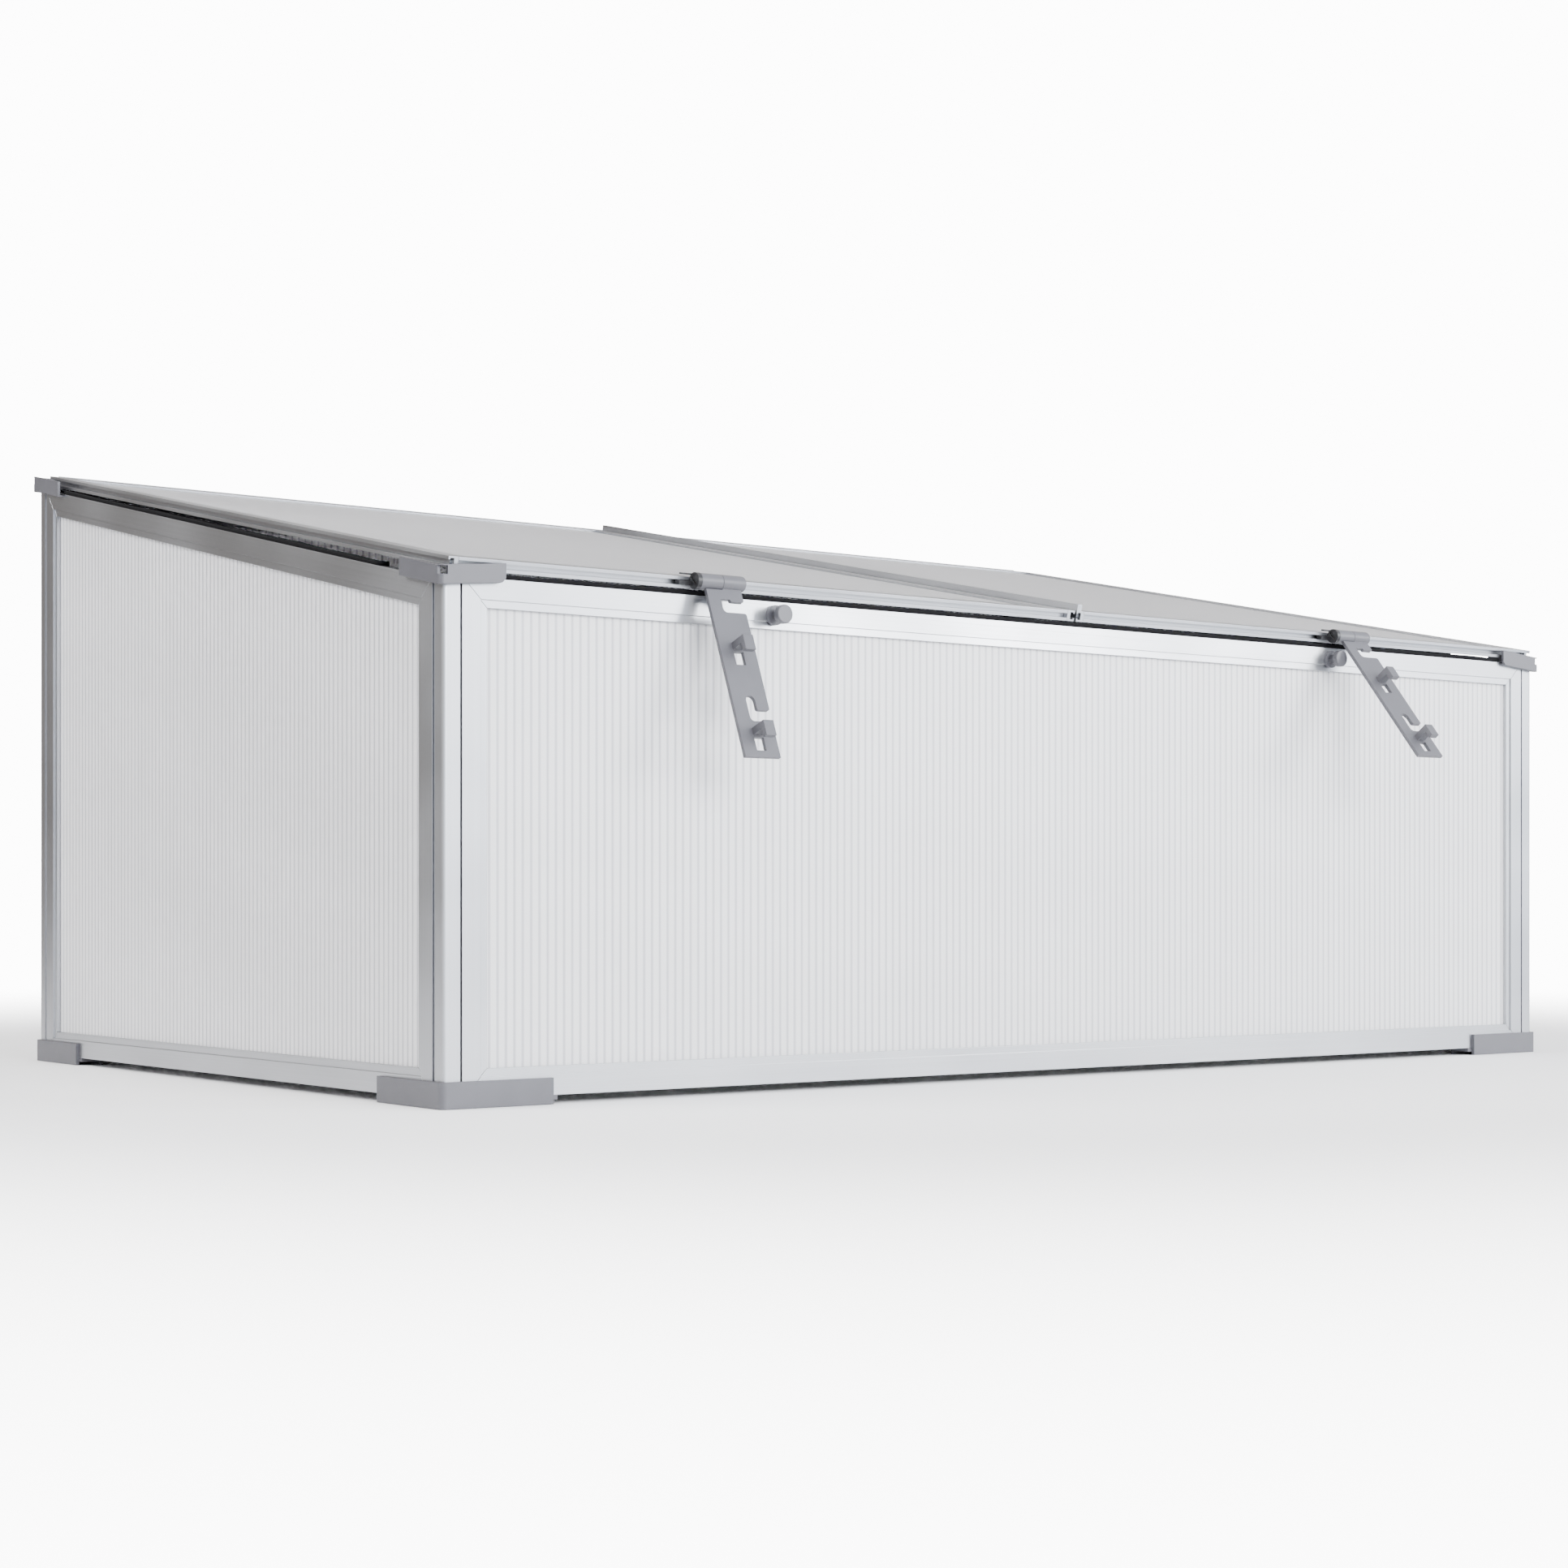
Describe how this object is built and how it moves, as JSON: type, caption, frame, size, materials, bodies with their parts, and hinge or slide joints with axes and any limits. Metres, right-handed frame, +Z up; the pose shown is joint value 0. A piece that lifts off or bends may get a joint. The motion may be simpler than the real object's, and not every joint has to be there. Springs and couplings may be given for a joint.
{
  "type": "cold frame",
  "caption": "Low glazed growing frame with a sloping roof of two hinged lids, plastic corner feet and caps, and notched stays that hook onto pegs.",
  "frame": {"origin": "on the ground, at the centre of the walls' footprint", "axes": "+X along the front from left to right, +Y from the front to the rear, +Z up"},
  "size_m": [1.0086, 0.6897, 0.4444],
  "materials": {
    "aluminium": "satin mill finish",
    "twin_wall_sheet": "clear twin-wall polycarbonate, ribbed",
    "grey_plastic": "moulded grey plastic",
    "black_plastic": "moulded black plastic",
    "foam": "soft black foam strip",
    "steel": "zinc-plated"
  },
  "bodies": {
    "frame": {"front_left_foot": "grey_plastic", "front_left_cap": "grey_plastic", "front_left_post": "aluminium", "front_right_foot": "grey_plastic", "front_right_cap": "grey_plastic", "front_right_post": "aluminium", "rear_left_foot": "grey_plastic", "rear_left_cap": "grey_plastic", "rear_left_post": "aluminium", "rear_right_foot": "grey_plastic", "rear_right_cap": "grey_plastic", "rear_right_post": "aluminium", "front_bottom_rail": "aluminium", "front_left_stile": "aluminium", "front_top_rail": "aluminium", "front_right_stile": "aluminium", "front_sheet": "twin_wall_sheet", "rear_bottom_rail": "aluminium", "rear_left_stile": "aluminium", "rear_top_rail": "aluminium", "rear_right_stile": "aluminium", "rear_sheet": "twin_wall_sheet", "left_bottom_rail": "aluminium", "left_left_stile": "aluminium", "left_top_rail": "aluminium", "left_right_stile": "aluminium", "left_sheet": "twin_wall_sheet", "right_bottom_rail": "aluminium", "right_left_stile": "aluminium", "right_top_rail": "aluminium", "right_right_stile": "aluminium", "right_sheet": "twin_wall_sheet", "front_seal": "foam", "left_seal": "foam", "right_seal": "foam", "hinge_socket_bar": "aluminium", "left_peg": "grey_plastic", "right_peg": "grey_plastic", "peg_screws": "steel", "frame_screws": "steel"},
    "lid_left": {"left_lid_left_bar": "aluminium", "left_lid_right_bar": "aluminium", "left_lid_front_bar": "aluminium", "left_lid_hinge_bar": "aluminium", "left_lid_sheet": "twin_wall_sheet", "left_lid_screws": "steel"},
    "stay_left_slide": {"left_stay_clip": "grey_plastic", "left_stay_pin": "black_plastic"},
    "stay_left_arm": {"left_stay_arm": "grey_plastic"},
    "lid_right": {"right_lid_left_bar": "aluminium", "right_lid_right_bar": "aluminium", "right_lid_front_bar": "aluminium", "right_lid_hinge_bar": "aluminium", "right_lid_sheet": "twin_wall_sheet", "right_lid_screws": "steel"},
    "stay_right_slide": {"right_stay_clip": "grey_plastic", "right_stay_pin": "black_plastic"},
    "stay_right_arm": {"right_stay_arm": "grey_plastic"}
  },
  "joints": [
    {"name": "lid_left_hinge", "type": "hinge", "parent": "frame", "child": "lid_left", "pos_m": [0, 0.294, 0.43748], "axis": [-1, 0, 0], "range_deg": [0, 105]},
    {"name": "stay_left_slide", "type": "slide", "parent": "lid_left", "child": "stay_left_slide", "axis": [1, 0, 0], "range_m": [-0.12, 0.02]},
    {"name": "stay_left_swing", "type": "hinge", "parent": "stay_left_slide", "child": "stay_left_arm", "pos_m": [-0.3, -0.30652, 0.31714], "axis": [-1, 0, 0], "range_deg": [-20, 120]},
    {"name": "lid_right_hinge", "type": "hinge", "parent": "frame", "child": "lid_right", "pos_m": [0, 0.294, 0.43748], "axis": [-1, 0, 0], "range_deg": [0, 105]},
    {"name": "stay_right_slide", "type": "slide", "parent": "lid_right", "child": "stay_right_slide", "axis": [1, 0, 0], "range_m": [-0.22, 0.16]},
    {"name": "stay_right_swing", "type": "hinge", "parent": "stay_right_slide", "child": "stay_right_arm", "pos_m": [0.28, -0.30652, 0.31714], "axis": [-1, 0, 0], "range_deg": [0, 105]}
  ]
}
